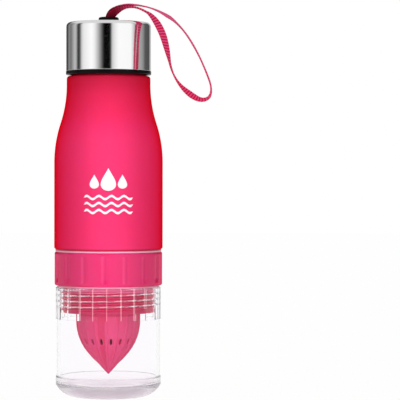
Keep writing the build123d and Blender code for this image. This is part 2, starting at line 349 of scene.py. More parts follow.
def strap_controls():
    """The route's points (s cos lean, -s sin lean, height); in the grommet the two runs lie face to face."""
    controls = []
    for index, (outwards, height) in enumerate(strap_route):
        side = 1 if index < len(strap_route) / 2 else -1
        apart = side * pair_offset * (1 - float(smooth_step((outwards - pair_end) / pair_length)))
        if abs(outwards) < pair_end:
            outwards *= grommet_squeeze
        controls.append((outwards * math.cos(strap_lean), apart - outwards * math.sin(strap_lean), height))
    return controls


def spline_points(route):
    """Points of the smooth NURBS line whose control points are the route's."""
    data = bpy.data.curves.new("strap_line", "CURVE")
    data.dimensions = "3D"
    data.resolution_u = 48
    spline = data.splines.new("NURBS")
    spline.points.add(len(route) - 1)
    spline.points.foreach_set("co", np.array([(x * mm, y * mm, z * mm, 1) for x, y, z in route]).ravel())
    spline.order_u = 3
    spline.use_endpoint_u = True
    holder = bpy.data.objects.new("strap_line", data)
    bpy.context.scene.collection.objects.link(holder)
    bpy.context.view_layer.update()
    mesh = bpy.data.meshes.new_from_object(holder)
    line = np.zeros(len(mesh.vertices) * 3)
    mesh.vertices.foreach_get("co", line)
    bpy.data.objects.remove(holder)
    bpy.data.curves.remove(data)
    bpy.data.meshes.remove(mesh)
    return line.reshape(-1, 3) / mm


def even_line(line, step):
    """The same line with points at an equal distance apart, between its own in a straight line, and their
    distances along it.
    """
    lengths = np.concatenate([[0], np.cumsum(np.linalg.norm(np.diff(line, axis=0), axis=1))])
    count = int(round(lengths[-1] / step))
    marks = np.linspace(0, lengths[-1], count + 1)
    return np.stack([np.interp(marks, lengths, line[:, axis]) for axis in range(3)], 1), marks


# Turn of the ribbon about its own line, in degrees from edge-on: (outwards, height, degrees)
strap_twists = [
    (-0.2, 241.0, -70), (0.2, 246.2, -62), (3.0, 248.5, -55), (6.2, 250.2, -30), (11.1, 251.6, -9),
    (20.5, 251.8, 0), (29.8, 249.9, 4), (39.6, 245.9, 16), (44.1, 243.7, 24), (49.0, 239.9, 12),
    (54.2, 235.2, 6), (62.1, 225.1, 7), (68.5, 212.9, 4), (72.3, 204.4, 6), (74.1, 197.9, 4),
    (73.7, 194.2, 9), (67.7, 191.1, 26), (64.1, 192.2, 36), (59.8, 194.1, 40), (56.3, 196.4, 30),
    (53.4, 199.3, 18), (50.5, 202.5, 8), (47.7, 207.1, 3), (44.7, 214.8, 12), (43.3, 220.5, 30),
    (42.3, 225.7, 42), (40.7, 231.1, 50), (38.2, 236.6, 52), (35.6, 240.6, 45), (32.3, 245.1, 26),
    (28.7, 247.8, 6), (20.6, 250.2, 2), (11.7, 250.4, 10), (5.3, 248.0, 45), (0.9, 245.0, 66),
    (0.2, 241.0, 70),
]
twist_search = 200
rib_pitch = 1.95
rib_height = 0.1
rib_slant = -0.45
ribbon_step = 0.21
ribbon_columns = 28
ribbon_smooth_limit = math.radians(50)


def strap_ribbon(line, marks):
    """A thin rounded ribbon carried along the line, turned about it by the twist at each point.

    Across the ribbon, u = width cos t |cos t|^-0.6 / 2 and v = thickness sin t |sin t|^-0.4 / 2. Ribs of
    woven yarn push both faces out by rib_height (|sin(pi (s + slant u) / rib_pitch)| - 1/2), along the
    length s. Each twist belongs to the nearest point of the line past the twist before.
    """
    tangent = np.gradient(line, axis=0)
    tangent /= np.linalg.norm(tangent, axis=1)[:, None]
    sideways = np.array([0, 1, 0]) - tangent * tangent[:, 1:2]
    sideways /= np.linalg.norm(sideways, axis=1)[:, None]
    rising = np.cross(tangent, sideways)
    keys = np.array(strap_twists, float)
    nearest = []
    start = 0
    for outwards, height, _ in keys:
        reach = slice(start, start + twist_search)
        distance = np.hypot(line[reach, 0] / math.cos(strap_lean) - outwards, line[reach, 2] - height)
        start += int(np.argmin(distance))
        nearest.append(marks[start])
    twist = np.radians(np.interp(marks, nearest, keys[:, 2]))
    width_way = np.cos(twist)[:, None] * sideways + np.sin(twist)[:, None] * rising
    thick_way = -np.sin(twist)[:, None] * sideways + np.cos(twist)[:, None] * rising
    t = even_angles(ribbon_columns)
    across = np.cos(t) * np.abs(np.cos(t) + 1e-9) ** -0.6 * strap_width / 2
    through = np.sin(t) * np.abs(np.sin(t) + 1e-9) ** -0.4 * strap_thickness / 2
    weave = np.stack(np.broadcast_arrays(across[None, :], marks[:, None] + rib_slant * across[None, :]), -1)
    swell = np.abs(np.sin(np.pi * weave[..., 1] / rib_pitch)) - 0.5
    on_face = np.abs(through) > 0.2
    rib = swell * rib_height * np.sign(through) * on_face
    points = (line[:, None]
              + width_way[:, None] * across[None, :, None]
              + thick_way[:, None] * (through + rib)[:, :, None])
    return points, weave


def ribbon_piece(name, points, weave):
    """The ribbon's grid with a fan over each end, and a map of (across, along the ribs) in millimetres."""
    rows, columns = points.shape[:2]
    ends = []
    for ring in (np.arange(columns), (rows * columns - 1 - np.arange(columns))):
        ends.append(np.stack([np.full(columns - 2, ring[0]), ring[2:], ring[1:-1]], 1))
    return mesh_piece(name, points, grid_faces(rows, columns), np.concatenate(ends),
                      ribbon_smooth_limit, weave)


strap_line, strap_marks = even_line(spline_points(strap_controls()), ribbon_step)
ribbon_points, ribbon_weave = strap_ribbon(strap_line, strap_marks)
strap = ribbon_piece("wrist_strap", ribbon_points, ribbon_weave)
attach(strap, "strap")
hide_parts("strap")
tuple(strap_line[0] * mm)
strap_width * mm
strap_line * mm


# Clear cup

# The cup's columns stand at these degrees from each groove's centre, closest in the groove
pad_count = 23
groove_step = full_turn / pad_count
groove_centre = front + math.radians(0.7)
groove_marks = np.radians([-2.7, -1.25, -0.35, 0.35, 1.25, 2.7, 3.8, 5.2, 6.7, 7.83, 9.0, 10.4, 11.8])
groove_floor = groove_marks[3]
groove_edge = groove_marks[4]
pad_bottom = 50.3
pad_step = 0.08
pad_depth = 0.75
groove_depth = 0.2
rim_step = 0.58
cup_thread_first = 54.6
foot_hollow = 0.8
bevel_foot = np.array([23.0, 0.0])
bevel_top = np.array([33.9, 8.0])
bevel_bulge = 1.5


def cup_relief(outline, stretches, angles):
    """Pads stand out by d - g (1 - smooth step of the groove's wall), and the socket's thread stands in."""
    from_groove = np.abs(from_nearest(angles, groove_centre, groove_step))
    wall = smooth_step((from_groove - groove_floor) / (groove_edge - groove_floor))
    pads = pad_depth - groove_depth * (1 - wall)
    inner = thread(outline, angles, cup_thread_first + thread_pitch / 2, 0.5, 3.7,
                   height=0.95, crest=0.12, flank=0.36)
    return on_stretch(stretches, "pads", pads[None, :]) + on_stretch(stretches, "thread", inner)


def foot_bevel(count=12):
    """The arc through the bevel's two ends and a middle pushed out by its bulge b, R = c^2 / 8 b + b / 2."""
    chord = bevel_top - bevel_foot
    length = np.linalg.norm(chord)
    radius = length ** 2 / (8 * bevel_bulge) + bevel_bulge / 2
    out = np.array([chord[1], -chord[0]]) / length
    centre = (bevel_foot + bevel_top) / 2 + out * (bevel_bulge - radius)
    half = math.asin(length / 2 / radius)
    swings = np.linspace(-half, half, count + 1)
    arc = centre + radius * (np.cos(swings)[:, None] * out + np.sin(swings)[:, None] * chord / length)
    return [tuple(point) for point in arc[:-1]]


cup_angles = (groove_centre + np.arange(pad_count)[:, None] * groove_step + groove_marks[None, :]).ravel()
cup = turned_piece("clear_cup", [
    (0, foot_hollow),
    (foot_hollow_radius, foot_hollow, 0.3),
    (foot_hollow_radius, 0, 0.3),
    *foot_bevel(),
    (base_band_radius, bevel_top[1], 0.6),
    (base_band_radius, base_band_top, 0.5),
    (cup_radius, base_band_top, 0.15, "", 6.0),
    (cup_radius, pad_bottom - pad_step),
    (cup_radius, pad_bottom + pad_step, 0, "pads", 5.0),
    (cup_radius, cup_rim - rim_step),
    (cup_radius, cup_rim, 0.4),
    (cup_bore, cup_rim, 0.4, "thread", fine_thread_row),
    (cup_bore, neck_bottom, 0, "", 6.0),
    (cup_bore, cup_floor, 2.2, "", 5.0),
    (1.9, cup_floor, 0.1),
    (1.7, cup_floor + 0.25, 0.1),
    (0.9, cup_floor + 0.25, 0.1),
    (0.8, cup_floor + 0.05, 0.05),
    (0, cup_floor + 0.05),
], cup_angles, cup_relief)
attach(cup, "cup")
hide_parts("cup")


# Juicer

ridge_count = 18
ridge_step = full_turn / ridge_count
ridge_centre = front + math.radians(-2.0)
ridge_height = 0.55
ridge_flat = 0.25
ridge_flank = 0.8
ridge_start = 20.5
ridge_rise = 5.0
flute_count = 16
flute_step = full_turn / flute_count
flute_depth = 0.5
flute_half_width = 2.6
flute_bottom = 74.4
flute_top = 89.6
flute_fade = 0.3
cone_arc_radius = 32.0
cone_arc_top = 49.0
cone_arc_turn = math.radians(41)
cone_rows = 11
nib_height = 4.1
nib_radius = 4.1
cone_wall = 1.6
slot_middle = math.asin(12.9 / cone_arc_radius)
slot_rows = np.array([-2.15, -2.05, -1.8, -1.4, -0.7, 0, 0.7, 1.4, 1.8, 2.05, 2.15])
slot_reach = 2.2
slot_margin = 2.9
slot_straight = 1.4
slot_half_width = 0.75
slot_end_half_width = 0.15
ridge_columns = 16
juicer_columns = ridge_count * ridge_columns
foot_thread_first = 94.4


def cone_side(offset, going_up):
    """The reamer's arc (centre_r + R cos t, top - R sin t), with its rows at the slots' rows."""
    radius = cone_arc_radius - offset
    below = np.linspace(cone_arc_turn, slot_middle + slot_margin / cone_arc_radius, cone_rows)
    above = np.linspace(slot_middle - slot_margin / cone_arc_radius, 0, cone_rows)
    turns = np.concatenate([below, slot_middle - slot_rows / cone_arc_radius, above])
    centre = cone_radius - cone_arc_radius
    side = [(centre + radius * math.cos(t), cone_arc_top - radius * math.sin(t), 0,
             "slots" if abs(t - slot_middle) * cone_arc_radius < slot_reach else "cone", 0) for t in turns]
    return side if going_up else side[::-1]


def juicer_relief(outline, stretches, angles):
    """Ridges on the reamer, flutes in the ring, and a thread on each neck.

    A ridge is h (1 - smooth step) of the distance past its flat, and fades out towards the point. A flute
    is the hollow d (1 - (u / w)^2) at u from its middle, and fades at both ends.
    """
    level = outline[:, 1:2]
    off = np.abs(from_nearest(angles, ridge_centre, ridge_step)[None, :] * outline[:, 0:1])
    ridges = ridge_height * (1 - smooth_step((off - ridge_flat) / ridge_flank))
    lower_end = smooth_step((level - ridge_start) / ridge_rise)
    outer_cone = (np.arange(len(outline)) < np.argmax(outline[:, 0] > cone_radius + 1)) & (stretches != "")
    relief = np.where(outer_cone[:, None], ridges * lower_end, 0)
    off = from_nearest(angles, ridge_centre, flute_step) * ring_radius
    scallop = flute_depth * (1 - (off / flute_half_width) ** 2).clip(0)
    ends = smooth_step((level - flute_bottom) / flute_fade) * smooth_step((flute_top - level) / flute_fade)
    lower = thread(outline, angles, cup_thread_first, 0.35, 3.9)
    upper = thread(outline, angles, foot_thread_first, 0.35, 3.2)
    return (relief - on_stretch(stretches, "flutes", scallop * ends)
            + on_stretch(stretches, "lower thread", lower) + on_stretch(stretches, "upper thread", upper))


def juicer_corners():
    """The outline from the nib up the outside to the upper neck's rim, and back down the inside."""
    outer_side = cone_side(0, True)
    inner_side = cone_side(cone_wall, False)
    upper_bore = upper_neck_radius - juicer_wall
    lower_bore = lower_neck_radius - juicer_wall
    cone_bore = cone_radius - cone_wall
    pit = inner_side[-1][1] - (inner_side[-1][0] - 1.0) / math.tan(cone_arc_turn)
    shoulder = outer_side[0][1] - (outer_side[0][0] - nib_radius) / math.tan(cone_arc_turn)
    return [
        (0, shoulder - nib_height - 0.05),
        (0.32, shoulder - nib_height, 0.1, "", 1.0),
        (nib_radius, shoulder, 0.8, "cone", 1.0),
        *outer_side,
        (cone_radius, neck_bottom, 0.3, "", 3.0),
        (lower_neck_radius, neck_bottom, 0.6, "lower thread", thread_row),
        (lower_neck_radius, ring_bottom, 0.15),
        (ring_radius, ring_bottom, 1.2, "flutes", 1.4),
        (ring_radius, ring_top, 1.2),
        (upper_neck_radius, ring_top, 0.15, "upper thread", thread_row),
        (upper_neck_radius, upper_neck_top, 0.6),
        (upper_bore, upper_neck_top, 0.6, "", 6.0),
        (upper_bore, ring_bottom + juicer_wall, 0.4),
        (lower_bore, ring_bottom, 0.4, "", 6.0),
        (lower_bore, web_top, 0.4, "", 3.0),
        (cone_bore, web_top, 0.3, "", 3.0),
        *inner_side,
        (1.0, pit, 0.3),
        (0, pit),
    ]


def make_juicer():
    """The juicer's moulding: a turned outline with drain slots through the reamer's wall.

    A slot leaves out the cells between its two edge columns and its end rows, on both sides of the wall,
    and four strips of quads join the two openings. Its half width at t from its middle is
    sqrt(w^2 - (|t| - s)^2) past its straight part, which reaches s either way.
    """
    outline, stretches = cross_section(juicer_corners())
    base = even_angles(juicer_columns, ridge_centre)
    relief = juicer_relief(outline, stretches, base)
    angles = np.broadcast_to(base, (len(outline), juicer_columns)).copy()
    rows = np.flatnonzero(stretches == "slots")
    outer_rows = rows[:len(slot_rows)]
    inner_rows = rows[len(slot_rows):][::-1]
    middles = np.arange(ridge_count) * ridge_columns + ridge_columns // 2
    past_straight = (np.abs(slot_rows) - slot_straight).clip(0)
    width = np.sqrt(slot_half_width ** 2 - past_straight ** 2).clip(slot_end_half_width)
    swing = width / outline[outer_rows, 0]
    for wall_rows in (outer_rows, inner_rows):
        for side in (-1, 1):
            angles[wall_rows[:, None], middles + side] = base[middles] + side * swing[:, None]
    points = turned_points(outline, angles, relief)[1:-1]
    outer_rows, inner_rows = outer_rows - 1, inner_rows - 1
    keep = np.ones((len(points) - 1, juicer_columns), bool)
    cells = np.concatenate([middles - 1, middles])
    keep[outer_rows[0]:outer_rows[-1], cells[:, None]] = False
    keep[inner_rows[-1]:inner_rows[0], cells[:, None]] = False
    left, right = (middles - 1)[None, :], (middles + 1)[None, :]
    low_o, high_o = outer_rows[:-1, None], outer_rows[1:, None]
    low_i, high_i = inner_rows[:-1, None], inner_rows[1:, None]
    first_o, first_i = outer_rows[0], inner_rows[0]
    last_o, last_i = outer_rows[-1], inner_rows[-1]
    after = cells + 1
    walls = [
        [(low_o, left), (low_i, left), (high_i, left), (high_o, left)],
        [(low_o, right), (high_o, right), (high_i, right), (low_i, right)],
        [(first_o, cells), (first_o, after), (first_i, after), (first_i, cells)],
        [(last_o, cells), (last_i, cells), (last_i, after), (last_o, after)],
    ]
    extra = [np.stack([row * juicer_columns + column for row, column in wall], -1) for wall in walls]
    extra = np.concatenate([quads.reshape(-1, 4) for quads in extra])
    return capped_piece("juicer_moulding", points, outline[0, 1], outline[-1, 1], keep, extra)


juicer = make_juicer()
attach(juicer, "juicer")
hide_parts("juicer")


# Frosted bottle

shoulder_curve = 80.1
shoulder_rows = 16
collar_wall = 3.4
body_columns = 288
mouth_bore = mouth_neck_radius - mouth_wall
mouth_thread_first = 210.6


def shoulder_line(wall, going_up):
    """The S-curve: two equal arcs r = 35 - R (1 - cos t) and r = 27 + R (1 - cos t), less the wall."""
    half = (shoulder_top - shoulder_bottom) / 2
    turns = np.linspace(0, math.asin(half / shoulder_curve), shoulder_rows + 1)[1:]
    inset = shoulder_curve * (1 - np.cos(turns))
    rise = shoulder_curve * np.sin(turns)
    low = [(body_radius - wall - i, shoulder_bottom + z) for i, z in zip(inset, rise)]
    high = [(collar_radius - wall + i, shoulder_top - z) for i, z in zip(inset[-2::-1], rise[-2::-1])]
    line = [(body_radius - wall, shoulder_bottom), *low, *high, (collar_radius - wall, shoulder_top)]
    return line if going_up else line[::-1]


def body_relief(outline, stretches, angles):
    """The foot's inner thread and the drinking neck's outer thread."""
    foot = thread(outline, angles, foot_thread_first + thread_pitch / 2, 0.4, 3.0)
    mouth = thread(outline, angles, mouth_thread_first, 0.2, 3.4)
    return on_stretch(stretches, "foot thread", foot) + on_stretch(stretches, "mouth thread", mouth)


bottle = turned_piece("frosted_bottle", [
    (body_bore, body_bottom, 0.2),
    (body_radius, body_bottom, 1.3, "", 8.0),
    *shoulder_line(0, True),
    (collar_radius, collar_top, 1.8),
    (mouth_neck_radius, collar_top, 0.4, "mouth thread", thread_row),
    (mouth_neck_radius, mouth_top, 0.6),
    (mouth_bore, mouth_top, 0.6, "", 6.0),
    (mouth_bore, collar_top, 0.5),
    (collar_radius - body_wall, collar_top - collar_wall, 0.5),
    *shoulder_line(body_wall, False),
    (body_bore, upper_neck_top + 1.0, 0, "foot thread", thread_row),
], even_angles(body_columns, front), body_relief, closed=True)
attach(bottle, "bottle")
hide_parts("bottle_body")


# Lid

liner_columns = 256
shell_columns = 320


def liner_relief(outline, stretches, angles):
    """The skirt's inner thread."""
    inner = thread(outline, angles, mouth_thread_first + thread_pitch / 2, 0.0, 3.2)
    return on_stretch(stretches, "lid thread", inner)


liner = turned_piece("lid_liner_moulding", [
    (0, plate_bottom),
    (liner_bore, plate_bottom, 0.3, "lid thread", thread_row),
    (liner_bore, lid_rim_bottom, 0.3),
    (lid_rim_radius, lid_rim_bottom, 0.5),
    (lid_rim_radius, lid_rim_top, 0.5),
    (liner_sleeve, lid_rim_top, 0, "", 6.0),
    (liner_sleeve, shell_ceiling, 2.1),
    (liner_sleeve - pocket_wall, shell_ceiling, 0.2, "", 6.0),
    (liner_sleeve - pocket_wall, plate_top, 0.3),
    (0, plate_top),
], even_angles(liner_columns, front), liner_relief)
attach(liner, "lid")
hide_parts("lid_liner")

shell = turned_piece("steel_cap", [
    (grommet_hole, shell_ceiling, 0.1),
    (shell_bore, shell_ceiling, 2.0, "", 5.0),
    (shell_bore, lid_rim_top, 0.1),
    (shell_radius, lid_rim_top, 0.15, "", 4.0),
    (shell_radius, lid_top, 2.6, "", 3.0),
    (grommet_hole, lid_top, 0.15),
][::-1], even_angles(shell_columns, front), closed=True)
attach(shell, "lid")
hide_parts("lid_shell")


# Pale print on the front: three drops over three waves

print_middle = 1.4
print_height = 0.05
blunt_tip = 0.02
stroke_length = 32.0
stroke_width = 1.5
stroke_swing = 1.0
stroke_taper = 1.2
wavelength = 8.0


def printed_strip(left, right, steps=9):
    """A thin stamped strip between two edges given as (across, height), wrapped on the barrel.

    Each point is a share s of the way from the left edge to the right one, x = X(1 - s) + X' s, and
    wraps as (r sin(x / r), -r cos(x / r), z).
    """
    s = np.linspace(0, 1, steps)[None, :, None]
    flat = left[:, None] * (1 - s) + right[:, None] * s
    layers = []
    for radius in (body_radius + print_height, body_radius - print_height):
        angle = flat[..., 0] / body_radius
        layers.append(np.stack([radius * np.sin(angle), -radius * np.cos(angle), flat[..., 1]], -1))
    ring = np.concatenate([layers[0], layers[1][:, ::-1]], 1)
    rows, columns = ring.shape[:2]
    j = np.arange(steps - 1)
    end = np.stack([j, j + 1, columns - 2 - j, columns - 1 - j], 1)
    quads = [grid_faces(rows, columns), end[:, ::-1], end + (rows - 1) * columns]
    return ring.reshape(-1, 3), np.concatenate(quads)


def joined_piece(name, parts):
    """One object from several sets of points and quads."""
    points, quads, start = [], [], 0
    for part_points, part_quads in parts:
        points.append(part_points)
        quads.append(part_quads + start)
        start += len(part_points)
    return mesh_piece(name, np.concatenate(points), np.concatenate(quads))


def drop_strip(middle, bottom, width, height):
    """A filled drop whose half width goes as sin(pi t^0.62)^0.9 (1 - t)^0.25, t from its foot to its tip."""
    t = np.linspace(0.0, 1.0, 40)
    half = np.sin(np.pi * t ** 0.62) ** 0.9 * (1 - t) ** 0.25
    half = half / half.max() * width / 2 + blunt_tip
    z = bottom + height * t
    return printed_strip(np.stack([middle - half, z], 1), np.stack([middle + half, z], 1))


def wave_strip(height):
    """A wavy stroke z = h + swing sin(2 pi x / wavelength), with ends tapered by a smooth step."""
    x = np.linspace(-stroke_length / 2, stroke_length / 2, 90)
    taper = smooth_step((stroke_length / 2 - np.abs(x)) / stroke_taper) * 0.9 + 0.1
    z = height + stroke_swing * np.sin(full_turn * x / wavelength)
    low = np.stack([print_middle + x, z - stroke_width / 2 * taper], 1)
    high = np.stack([print_middle + x, z + stroke_width / 2 * taper], 1)
    return printed_strip(high, low, steps=3)


print_piece = joined_piece("pale_print", [
    drop_strip(print_middle, 132.8, 9.6, 14.4),
    drop_strip(print_middle - 9.0, 134.2, 6.0, 9.0),
    drop_strip(print_middle + 9.0, 134.2, 6.0, 9.0),
    *[wave_strip(height) for height in (128.6, 124.2, 119.8)],
])
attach(print_piece, "bottle")


# Finishes

def colour(red, green, blue):
    return (red, green, blue, 1.0)


class Term:
    """A socket in a material's node tree that Python's operators turn into Math nodes."""

    def __init__(self, finish, socket):
        self.finish = finish
        self.socket = socket

    def __add__(self, other):
        return self.finish.maths("ADD", self, other)

    def __sub__(self, other):
        return self.finish.maths("SUBTRACT", self, other)

    def __rsub__(self, other):
        return self.finish.maths("SUBTRACT", other, self)

    def __mul__(self, other):
        return self.finish.maths("MULTIPLY", self, other)

    def __truediv__(self, other):
        return self.finish.maths("DIVIDE", self, other)

    def __rtruediv__(self, other):
        return self.finish.maths("DIVIDE", other, self)

    def __lt__(self, other):
        return self.finish.maths("LESS_THAN", self, other)

    def __gt__(self, other):
        return self.finish.maths("GREATER_THAN", self, other)

    def __abs__(self):
        return self.finish.maths("ABSOLUTE", self)

    def __round__(self):
        return self.finish.maths("ROUND", self)

    __radd__ = __add__
    __rmul__ = __mul__


class Finish:
    """A material: constants on its shader's own sockets, and nodes for what changes over the surface.

    Given a node tree in place of a material, as the world's, it only adds nodes to that tree.
    """

    def __init__(self, name, tree=None, **constants):
        if tree is None:
            self.material = bpy.data.materials.new(name)
            self.material.use_nodes = True
            tree = self.material.node_tree
            self.shader = tree.nodes["Principled BSDF"]
            for label, value in constants.items():
                self.shader.inputs[label.replace("_", " ")].default_value = value
        self.tree = tree

    def add(self, kind, settings=None, inputs=None, output=0):
        """One node with its settings, then the values or links of its sockets; the term is one output."""
        node = self.tree.nodes.new(kind)
        for label, value in (settings or {}).items():
            if label == "stops":
                ramp = node.color_ramp.elements
                while len(ramp) < len(value):
                    ramp.new(0.5)
                for stop, (position, tone) in zip(ramp, value):
                    stop.position = position
                    stop.color = tone
            else:
                setattr(node, label, value)
        for label, value in (inputs or {}).items():
            self.feed(node.inputs[label], value)
        return Term(self, node.outputs[output])

    def feed(self, socket, value):
        if isinstance(value, Term):
            self.tree.links.new(value.socket, socket)
        else:
            socket.default_value = value

    def drive(self, label, value):
        self.feed(self.shader.inputs[label], value)

    def maths(self, operation, *values):
        return self.add("ShaderNodeMath", {"operation": operation}, dict(enumerate(values)))

    def place(self):
        return self.add("ShaderNodeTexCoord", output="Object")

    def parts(self, vector):
        """The three numbers of a vector."""
        node = self.add("ShaderNodeSeparateXYZ", None, {0: vector}).socket.node
        return [Term(self, output) for output in node.outputs]

    def ray(self, kind):
        """1 on rays of the kind, and 0 on others."""
        return self.add("ShaderNodeLightPath", output=f"Is {kind} Ray")

    def noise(self, scale, detail=2.0, vector=None):
        inputs = {"Vector": vector or self.place(), "Scale": scale, "Detail": detail}
        return self.add("ShaderNodeTexNoise", None, inputs)

    def blend(self, share, first, second, mode="MIX"):
        settings = {"data_type": "RGBA", "blend_type": mode}
        return self.add("ShaderNodeMix", settings, {0: share, 6: first, 7: second}, 2)

    def speckle(self, scale, first, second, detail=2.0):
        """A colour that wanders between two with the noise."""
        return self.blend(self.noise(scale, detail), colour(*first), colour(*second))

    def rise(self, value, start, end):
        """0 at the start, 1 at the end, straight between them and held outside."""
        return self.add("ShaderNodeMapRange", None, {"Value": value, "From Min": start, "From Max": end})

    def bump(self, height, distance, strength):
        inputs = {"Height": height, "Distance": distance, "Strength": strength}
        return self.add("ShaderNodeBump", None, inputs)

    def ramp(self, share, stops):
        return self.add("ShaderNodeValToRGB", {"stops": stops}, {0: share})

    def height(self):
        return self.parts(self.place())[2]

    def below(self, level):
        """1 below the level in millimetres, and 0 over it."""
        return self.height() < level * mm

    def between(self, low, high):
        return self.below(high) - self.below(low)

    def by_height(self, top, marks):
        """The colour between (level, red, green, blue) marks, on a ramp from the floor to the top level."""
        return self.ramp(self.height() / (top * mm), [(level / top, colour(*tone)) for level, *tone in marks])

    def turn(self):
        """The angle about the bottle's axis, as in the shapes above."""
        x, y, _ = self.parts(self.place())
        return self.maths("ARCTAN2", y, x)

    def from_repeat(self, centre, step):
        """How far round from the nearest of the marks at centre + k step, as a share of the step."""
        phase = (self.turn() - centre) / step
        return phase - round(phase)

    def mix_in(self, share, shader):
        """Another shader in place of the material's own, by the share."""
        own = Term(self, self.shader.outputs[0])
        mixed = self.add("ShaderNodeMixShader", None, {0: share, 1: own, 2: shader})
        self.feed(self.tree.nodes["Material Output"].inputs["Surface"], mixed)

    def dress(self, *pieces):
        for piece in pieces:
            piece.data.materials.clear()
            piece.data.materials.append(self.material)


# The clear cup: pale lilac in its thick floor, and painted highlights as pale glowing lines where the grooves
# cross the neck
tint_top = 24.0
bevel_haze_top = 8.5
band_haze_top = 13.6
groove_glint_bottom = 50.4
groove_glint_neck = 57.5
groove_glint_top = 70.5
groove_glint_reach = 21.0
clear_plastic = Finish("clear_plastic", Transmission_Weight=1.0, IOR=1.49, Emission_Strength=1.0,
                       Specular_Tint=colour(0.35, 0.3, 0.34))
clear_plastic.drive("Base Color", clear_plastic.by_height(tint_top, [
    (0.0, 0.95, 0.79, 0.89), (4.8, 0.95, 0.81, 0.9), (8.16, 0.99, 0.95, 0.98),
    (13.44, 0.99, 0.965, 0.99), (14.4, 0.988, 0.979, 0.994), (tint_top, 0.988, 0.979, 0.994),
]))
haze = clear_plastic.below(bevel_haze_top) * 0.16 + clear_plastic.below(band_haze_top) * 0.12
clear_plastic.drive("Roughness", clear_plastic.noise(300.0) * 0.02 + 0.005 + haze)
off_groove = abs(clear_plastic.from_repeat(groove_centre, groove_step))
off_axis = abs(clear_plastic.parts(clear_plastic.place())[0])
line_width = off_axis * 0.7 + 0.014
over_neck = clear_plastic.between(groove_glint_neck, groove_glint_top) * 0.6
low_end = clear_plastic.between(groove_glint_bottom, groove_glint_neck) * (off_axis < groove_glint_reach * mm) * 0.5
painted_groove_glint = (off_groove < line_width) * (over_neck + low_end)
# Painted highlight: pale glowing lines along the grooves over the neck, and fainter ones below it
clear_plastic.drive("Emission Color", clear_plastic.blend(painted_groove_glint, colour(0, 0, 0), colour(0.5, 0.5, 0.52)))
let_through = clear_plastic.add("ShaderNodeBsdfTransparent", None, {"Color": colour(0.96, 0.95, 0.96)})
clear_plastic.mix_in(clear_plastic.ray("Shadow") + clear_plastic.ray("Diffuse"), let_through)
clear_plastic.dress(cup)

# The juicer: painted shade on the neck behind the cup's thread, painted light on the band over it, a painted
# highlight and a painted shade beside each flute, and a cone painted paler as if lit through, with one band
# of painted shade left of its front and painted shade on the nib
nib_top = 14.5
cone_top = 52.5
pale_bottom = 67.6
pale_top = 71.7
juicer_plastic = Finish("translucent_plastic", Transmission_Weight=0.12, IOR=1.49, Subsurface_Weight=0.5,
                        Subsurface_Scale=0.002, Subsurface_Radius=(1.0, 0.2, 0.35), Sheen_Weight=0.5,
                        Sheen_Roughness=0.12, Coat_Weight=1.0, Coat_IOR=1.0, Coat_Tint=colour(1.0, 0.7, 0.8))
beside_flute = juicer_plastic.from_repeat(ridge_centre, flute_step) * (flute_step * ring_radius)
on_ring = juicer_plastic.between(73.8, 91.0)
on_cone = juicer_plastic.below(cone_top)
from_front = juicer_plastic.turn() - front
moulding = juicer_plastic.speckle(60.0, (0.79, 0.035, 0.205), (0.84, 0.053, 0.245), 3.0)
# Painted shade and painted light laid one after another over the moulding's own speckled pink
for share, tone in [
    (juicer_plastic.between(cone_top, pale_bottom) * 0.6, (0.55, 0.004, 0.09)),
    ((beside_flute < -0.5) * (beside_flute > -1.9) * on_ring * 0.3, (1.0, 0.16, 0.42)),
    ((beside_flute < 1.4) * (beside_flute > 0.3) * on_ring * 0.2, (0.45, 0.006, 0.08)),
    (on_cone * 0.5, (0.82, 0.15, 0.33)),
    ((from_front < -0.08) * (from_front > -0.3) * on_cone * 0.6, (0.72, 0.015, 0.13)),
    (juicer_plastic.below(nib_top) * 0.5, (0.5, 0.01, 0.06)),
    (juicer_plastic.between(pale_bottom, pale_top), (0.85, 0.27, 0.45)),
]:
    moulding = juicer_plastic.blend(share, moulding, colour(*tone))
juicer_plastic.drive("Base Color", moulding)
juicer_plastic.drive("Roughness", juicer_plastic.noise(400.0) * 0.06 + 0.09)
juicer_plastic.dress(juicer)

# The bottle: soft pink with painted shade that deepens up the shoulder, darkest in the joint under the lid's
# rim and easing on the neck above it
frosted = Finish("frosted_plastic", Subsurface_Weight=0.4, Subsurface_Scale=0.015,
                 Subsurface_Radius=(1.0, 0.08, 0.14), IOR=1.45, Specular_IOR_Level=0.06, Sheen_Weight=0.12,
                 Sheen_Roughness=0.5, Sheen_Tint=colour(1.0, 0.03, 0.1), Coat_Weight=1.0, Coat_IOR=1.0,
                 Coat_Tint=colour(1.0, 0.4, 0.5))
pink = frosted.speckle(35.0, (0.97, 0.1, 0.31), (1.0, 0.105, 0.335), 3.0)
# Painted shade: the pink darkened by height towards the lid's rim
painted_shade_under_lid = frosted.by_height(lid_top, [
    (166.0, 1, 1, 1), (173.9, 0.96, 0.83, 0.93), (178.9, 0.92, 0.73, 0.77), (184.1, 0.87, 0.63, 0.66),
    (194.4, 0.78, 0.53, 0.54), (203.6, 0.63, 0.4, 0.38), (206.0, 0.5, 0.36, 0.3), (207.5, 0.25, 0.2, 0.16),
    (208.5, 0.6, 0.5, 0.5), (212.0, 0.8, 0.7, 0.7),
])
frosted.drive("Base Color", frosted.blend(1.0, pink, painted_shade_under_lid, "MULTIPLY"))
frosted.drive("Roughness", frosted.noise(900.0) * 0.12 + 0.46)
frosted.drive("Normal", frosted.bump(frosted.noise(4200.0, 1.0), 0.03 * mm, 0.35))
frosted.dress(bottle)

ink = Finish("pale_ink")
ink.drive("Base Color", ink.speckle(700.0, (0.93, 0.76, 0.82), (0.97, 0.84, 0.88)))
ink.drive("Roughness", ink.noise(1500.0) * 0.1 + 0.45)
ink.dress(print_piece)

